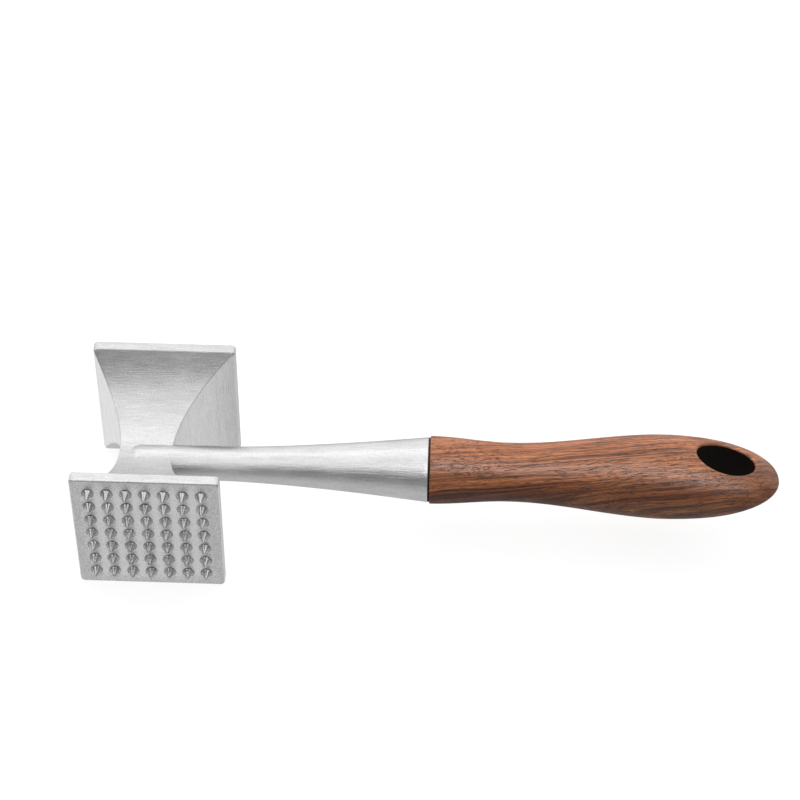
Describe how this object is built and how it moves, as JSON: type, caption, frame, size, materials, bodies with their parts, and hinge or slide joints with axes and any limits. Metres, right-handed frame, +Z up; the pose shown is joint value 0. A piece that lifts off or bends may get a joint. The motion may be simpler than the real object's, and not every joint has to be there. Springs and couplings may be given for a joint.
{
  "type": "meat mallet",
  "caption": "Meat mallet with a cast aluminium head, pointed on its front face and plain on its rear face, a tapered neck and an oval walnut handle with a hanging hole.",
  "frame": {"origin": "middle of the underside of the whole box, with the mallet lying on its side", "axes": "+X from the head towards the handle's tip, +Y from the pointed face towards the plain face, +Z up"},
  "size_m": [0.265, 0.0786, 0.055],
  "materials": {
    "cast_aluminium": "brushed, satin",
    "black_fibre": "matte",
    "steel": "plain zinc-plated",
    "brass": "machined",
    "walnut": "oiled, satin"
  },
  "bodies": {
    "root": {"head_casting": "cast_aluminium", "joint_washer": "black_fibre", "handle_stud": "steel", "threaded_insert": "brass", "handle": "walnut"}
  },
  "joints": []
}
